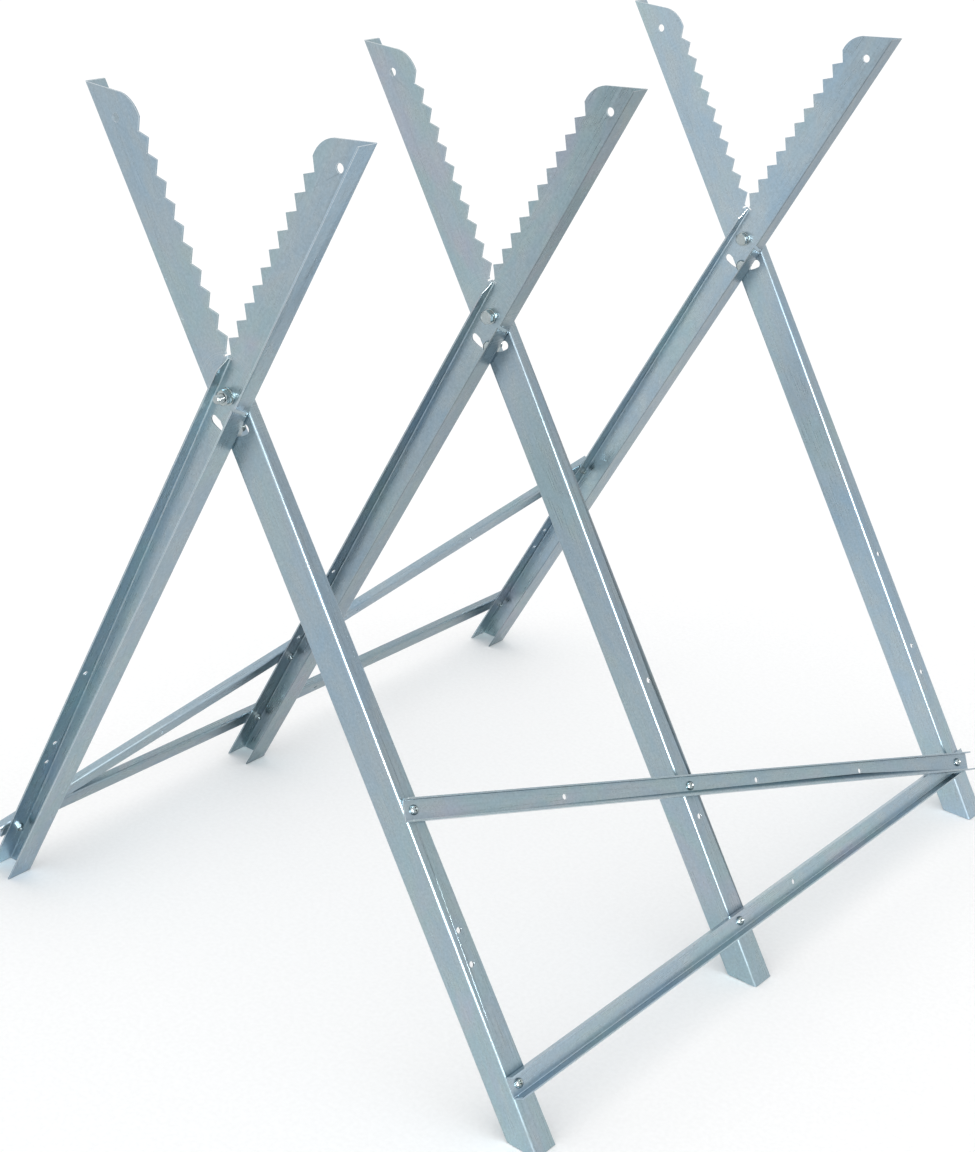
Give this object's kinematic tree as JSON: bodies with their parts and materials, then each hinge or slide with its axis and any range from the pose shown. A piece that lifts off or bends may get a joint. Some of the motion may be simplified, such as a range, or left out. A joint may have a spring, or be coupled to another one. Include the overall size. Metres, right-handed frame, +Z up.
{
  "type": "log saw stand",
  "caption": "Folding saw stand for logs: scissor pairs of toothed pressed-steel legs on pivot bolts, tied into side frames by straight and diagonal channel bars.",
  "frame": {"origin": "on the ground, under the middle of the opened stand's outline", "axes": "+X to the right across the stand, +Y to the rear along the log, +Z up"},
  "size_m": [0.7444, 0.8674, 0.8654],
  "materials": {
    "leg_steel": "zinc plated sheet, blue passivated, satin",
    "bar_steel": "zinc plated sheet, blue passivated, satin",
    "bolt_steel": "zinc plated, bright",
    "screw_steel": "zinc plated, bright"
  },
  "bodies": {
    "right_frame": {"right_leg_front": "leg_steel", "right_leg_middle": "leg_steel", "right_leg_rear": "leg_steel", "right_low_bar": "bar_steel", "right_diagonal_bar": "bar_steel", "right_bar_screws": "screw_steel", "right_bar_nuts": "screw_steel", "pivot_bolt_front": "bolt_steel", "pivot_bolt_middle": "bolt_steel", "pivot_bolt_rear": "bolt_steel", "pivot_nut_front": "bolt_steel", "pivot_nut_middle": "bolt_steel", "pivot_nut_rear": "bolt_steel", "pivot_washers": "bolt_steel"},
    "left_frame": {"left_leg_front": "leg_steel", "left_leg_middle": "leg_steel", "left_leg_rear": "leg_steel", "left_low_bar": "bar_steel", "left_diagonal_bar": "bar_steel", "left_bar_screws": "screw_steel", "left_bar_nuts": "screw_steel"},
    "stop_bolts": {"stop_bolt_front": "bolt_steel", "stop_bolt_middle": "bolt_steel", "stop_bolt_rear": "bolt_steel", "stop_nuts": "bolt_steel"}
  },
  "joints": [
    {"name": "fold", "type": "hinge", "parent": "right_frame", "child": "left_frame", "pos_m": [0, 0, 0.62], "axis": [0, -1, 0], "range_deg": [0, 58.5]},
    {"name": "stop_travel", "type": "hinge", "parent": "right_frame", "child": "stop_bolts", "pos_m": [0, 0, 0.62], "axis": [0, -1, 0], "range_deg": [0, 29.25]}
  ],
  "couplings": [
    {"joint": "stop_travel", "follows": "fold", "ratio": 0.5}
  ]
}
